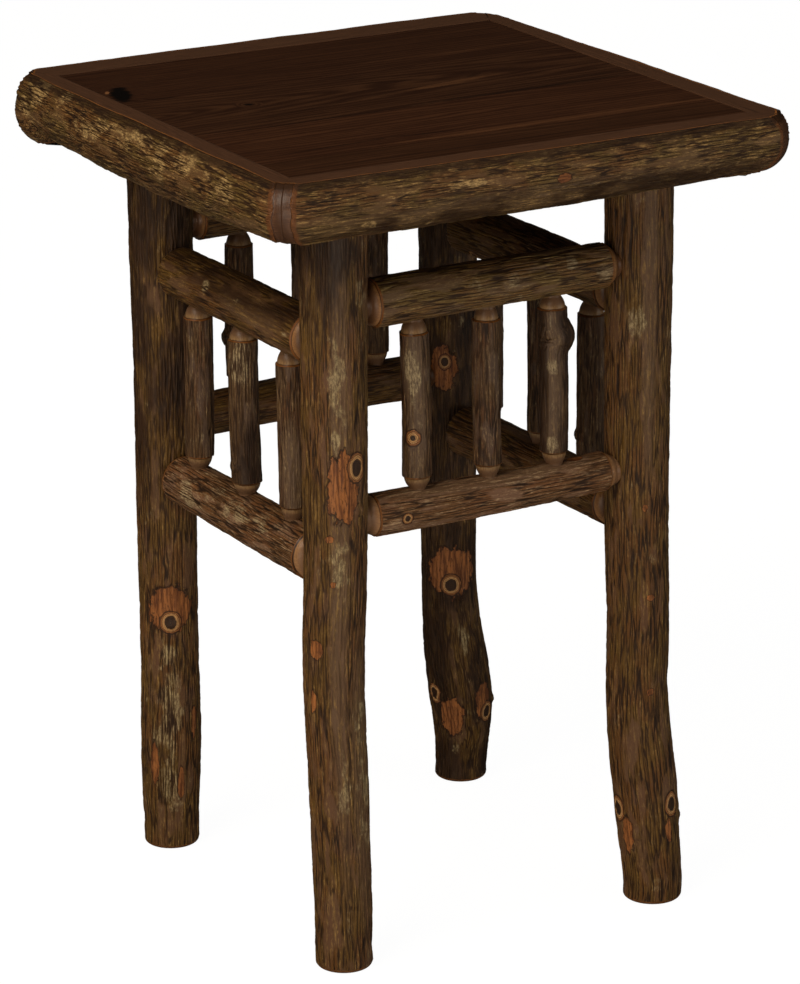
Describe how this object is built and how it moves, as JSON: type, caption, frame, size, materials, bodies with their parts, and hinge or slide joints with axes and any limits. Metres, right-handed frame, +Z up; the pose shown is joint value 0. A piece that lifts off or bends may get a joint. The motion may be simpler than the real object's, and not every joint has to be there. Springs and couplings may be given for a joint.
{
  "type": "rustic side table",
  "caption": "Square side table of bark-on hickory poles: crooked legs, round-tenoned rails and spindles, and a flat board top framed by half-planed logs.",
  "frame": {"origin": "on the floor under the middle of the table's outer box, between the four feet", "axes": "+Z up, +X to the right along the front, the front is the -Y side"},
  "size_m": [0.5381, 0.5404, 0.762],
  "materials": {
    "bark_pole": "hickory pole with its bark on, clear lacquered, peeled at the tenons",
    "bark_stick": "young hickory stick with smooth mottled bark, clear lacquered",
    "edge_log": "ridged hickory bark round the sides, planed and dark stained on top",
    "stained_board": "planed hardwood board, dark walnut stain, satin lacquer",
    "batten_wood": "sawn and planed hardwood, thin dark stain",
    "screw_steel": "zinc plated steel"
  },
  "bodies": {
    "root": {"leg_front_left": "bark_pole", "leg_front_right": "bark_pole", "leg_back_left": "bark_pole", "leg_back_right": "bark_pole", "front_upper_rail": "bark_pole", "front_lower_rail": "bark_pole", "back_upper_rail": "bark_pole", "back_lower_rail": "bark_pole", "left_upper_rail": "bark_pole", "left_lower_rail": "bark_pole", "right_upper_rail": "bark_pole", "right_lower_rail": "bark_pole", "front_spindle_1": "bark_stick", "front_spindle_2": "bark_stick", "front_spindle_3": "bark_stick", "back_spindle_1": "bark_stick", "back_spindle_2": "bark_stick", "back_spindle_3": "bark_stick", "left_spindle_1": "bark_stick", "left_spindle_2": "bark_stick", "left_spindle_3": "bark_stick", "right_spindle_1": "bark_stick", "right_spindle_2": "bark_stick", "right_spindle_3": "bark_stick", "front_edge_log": "edge_log", "back_edge_log": "edge_log", "left_edge_log": "edge_log", "right_edge_log": "edge_log", "top_board_1": "stained_board", "top_board_2": "stained_board", "top_board_3": "stained_board", "top_board_4": "stained_board", "batten_left": "batten_wood", "batten_right": "batten_wood", "batten_screws": "screw_steel"}
  },
  "joints": []
}
